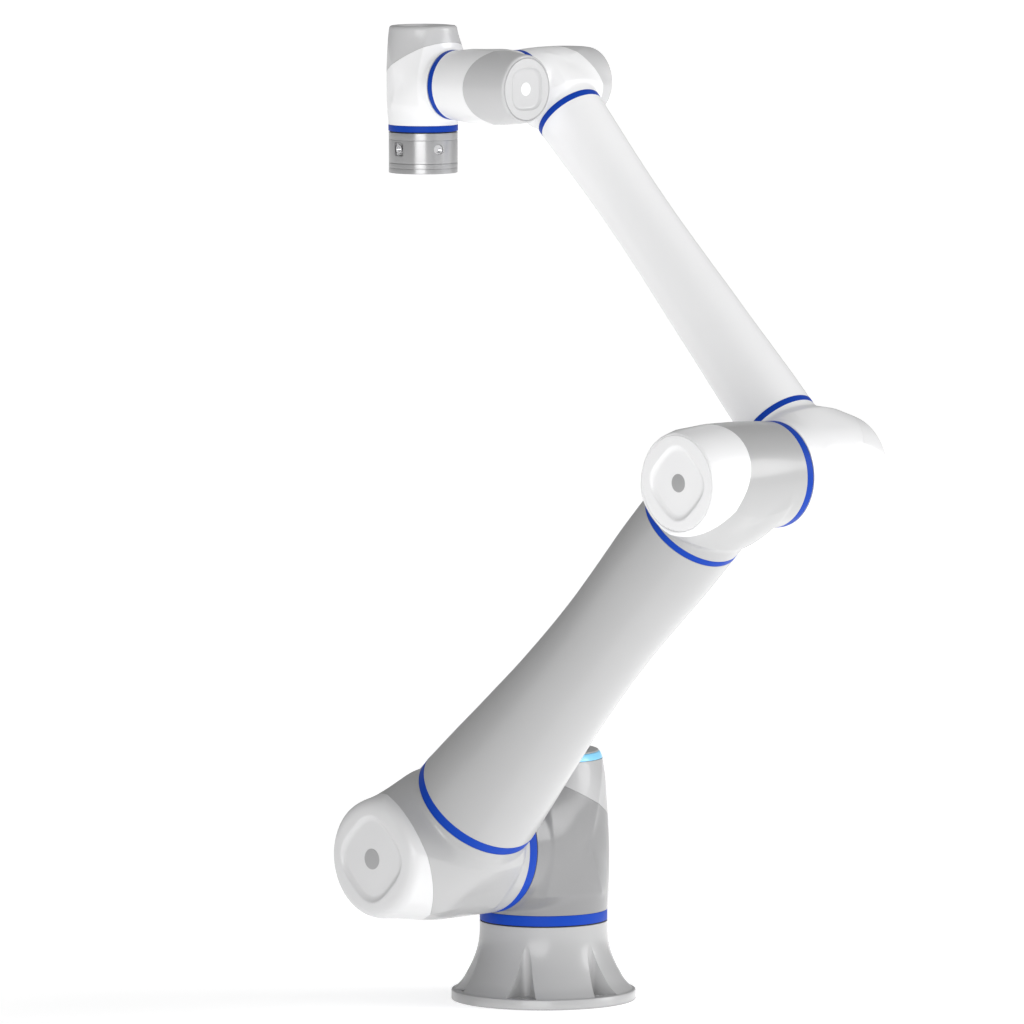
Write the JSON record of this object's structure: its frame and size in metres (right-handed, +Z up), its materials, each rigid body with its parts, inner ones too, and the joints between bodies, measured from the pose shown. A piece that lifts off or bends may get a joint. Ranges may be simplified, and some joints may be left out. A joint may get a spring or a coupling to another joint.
{
  "type": "collaborative robot arm",
  "caption": "Jointed collaborative robot arm on a round bolt-down base, with rounded joint housings, tapered tubes, blue seal rings and a steel tool flange.",
  "frame": {"origin": "centre of the base flange's mounting face, on the first joint's axis", "axes": "+Z up along the first joint's axis, away from the mounting face; +X the way the upper arm leans at rest; -Y the side of the base that the upper arm is on"},
  "size_m": [0.7955, 0.49, 1.4305],
  "materials": {
    "base_paint": "satin",
    "arm_paint": "satin",
    "white_paint": "gloss",
    "cap_grey": "gloss",
    "cap_white": "gloss",
    "blue_ring": "satin",
    "light_ring": "gloss",
    "dark_plastic": "matte",
    "plated_metal": "polished",
    "machined_steel": "machined",
    "tool_steel": "turned",
    "drive_aluminium": "machined",
    "circuit_board": "satin"
  },
  "bodies": {
    "base": {"base_casting": "base_paint", "base_connector_panel": "dark_plastic", "base_socket": "plated_metal", "j1_output_flange": "machined_steel"},
    "shoulder": {"j1_ring": "blue_ring", "shoulder_housing": "base_paint", "shoulder_cap": "cap_grey", "status_light_ring": "light_ring", "shoulder_lid": "cap_grey", "j1_drive_case": "drive_aluminium", "j1_rotor_shaft": "machined_steel", "j1_driver_board": "circuit_board", "j2_output_flange": "machined_steel"},
    "upper_arm": {"j2_ring": "blue_ring", "upper_arm_base_housing": "arm_paint", "upper_arm_base_cap": "cap_white", "upper_arm_lower_ring": "blue_ring", "upper_arm_tube": "arm_paint", "upper_arm_upper_ring": "blue_ring", "elbow_housing": "arm_paint", "elbow_cap": "cap_white", "j3_ring": "blue_ring", "j2_drive_case": "drive_aluminium", "j2_rotor_shaft": "machined_steel", "j2_driver_board": "circuit_board", "j3_drive_case": "drive_aluminium", "j3_rotor_shaft": "machined_steel", "j3_driver_board": "circuit_board"},
    "forearm": {"forearm_base_housing": "white_paint", "forearm_base_cap": "cap_white", "forearm_lower_ring": "blue_ring", "forearm_tube": "white_paint", "forearm_upper_ring": "blue_ring", "wrist_1_housing": "white_paint", "wrist_1_cap": "cap_grey", "j4_ring": "blue_ring", "j3_output_flange": "machined_steel", "j4_drive_case": "drive_aluminium", "j4_rotor_shaft": "machined_steel", "j4_driver_board": "circuit_board"},
    "wrist_2": {"wrist_2_housing": "white_paint", "wrist_2_cap": "cap_grey", "j5_ring": "blue_ring", "j4_output_flange": "machined_steel", "j5_drive_case": "drive_aluminium", "j5_rotor_shaft": "machined_steel", "j5_driver_board": "circuit_board"},
    "wrist_3": {"wrist_3_housing": "white_paint", "wrist_3_cap": "cap_grey", "j6_ring": "blue_ring", "j5_output_flange": "machined_steel", "j6_drive_case": "drive_aluminium", "j6_rotor_shaft": "machined_steel", "j6_driver_board": "circuit_board"},
    "tool_flange": {"j6_output_flange": "machined_steel", "tool_flange_body": "tool_steel", "tool_connector_a": "plated_metal", "tool_connector_b": "plated_metal", "tool_mounting_plate": "tool_steel"}
  },
  "joints": [
    {"name": "shoulder_yaw", "type": "hinge", "parent": "base", "child": "shoulder", "pos_m": [0, 0, 0.236], "axis": [0, 0, 1], "range_deg": [-360, 360]},
    {"name": "shoulder_pitch", "type": "hinge", "parent": "shoulder", "child": "upper_arm", "pos_m": [0, -0.214, 0.236], "axis": [0, 1, 0], "range_deg": [-195, 105]},
    {"name": "elbow", "type": "hinge", "parent": "upper_arm", "child": "forearm", "pos_m": [0.58054, -0.214, 0.81654], "axis": [0, 1, 0], "range_deg": [-60, 240]},
    {"name": "wrist_pitch", "type": "hinge", "parent": "forearm", "child": "wrist_2", "pos_m": [0.05162, -0.0417, 1.34545], "axis": [0, 1, 0], "range_deg": [-360, 360]},
    {"name": "wrist_yaw", "type": "hinge", "parent": "wrist_2", "child": "wrist_3", "pos_m": [0.05162, -0.1703, 1.34545], "axis": [1, 0, 0], "range_deg": [-360, 360]},
    {"name": "wrist_roll", "type": "hinge", "parent": "wrist_3", "child": "tool_flange", "pos_m": [-0.07698, -0.1703, 1.34545], "axis": [0, 0, 1], "range_deg": [-360, 360]}
  ]
}
